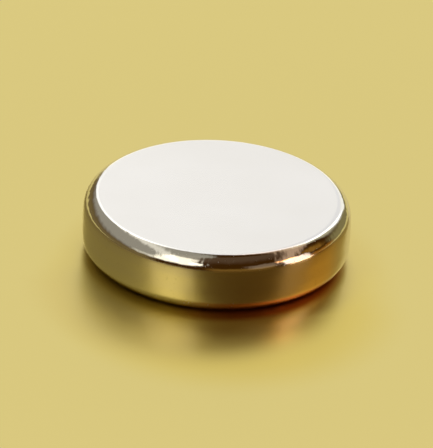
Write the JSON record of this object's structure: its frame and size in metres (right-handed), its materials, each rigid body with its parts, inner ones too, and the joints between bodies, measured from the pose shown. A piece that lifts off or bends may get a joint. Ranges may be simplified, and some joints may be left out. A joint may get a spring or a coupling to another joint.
{
  "type": "disc magnet",
  "caption": "Flat round disc magnet with smoothly rounded rims, satin flat faces and a bright straight barrel, for holding to steel or setting in a drilled pocket.",
  "frame": {"origin": "centre of the lower flat face", "axes": "+Z along the disc's axis, from the lower face to the upper; +X along the fine grinding lines of the faces"},
  "size_m": [0.013, 0.013, 0.003],
  "materials": {
    "nickel_plating": "bright nickel plating, satin on the two flat faces and polished on the barrel and rims"
  },
  "bodies": {
    "root": {"magnet_disc": "nickel_plating"}
  },
  "joints": []
}
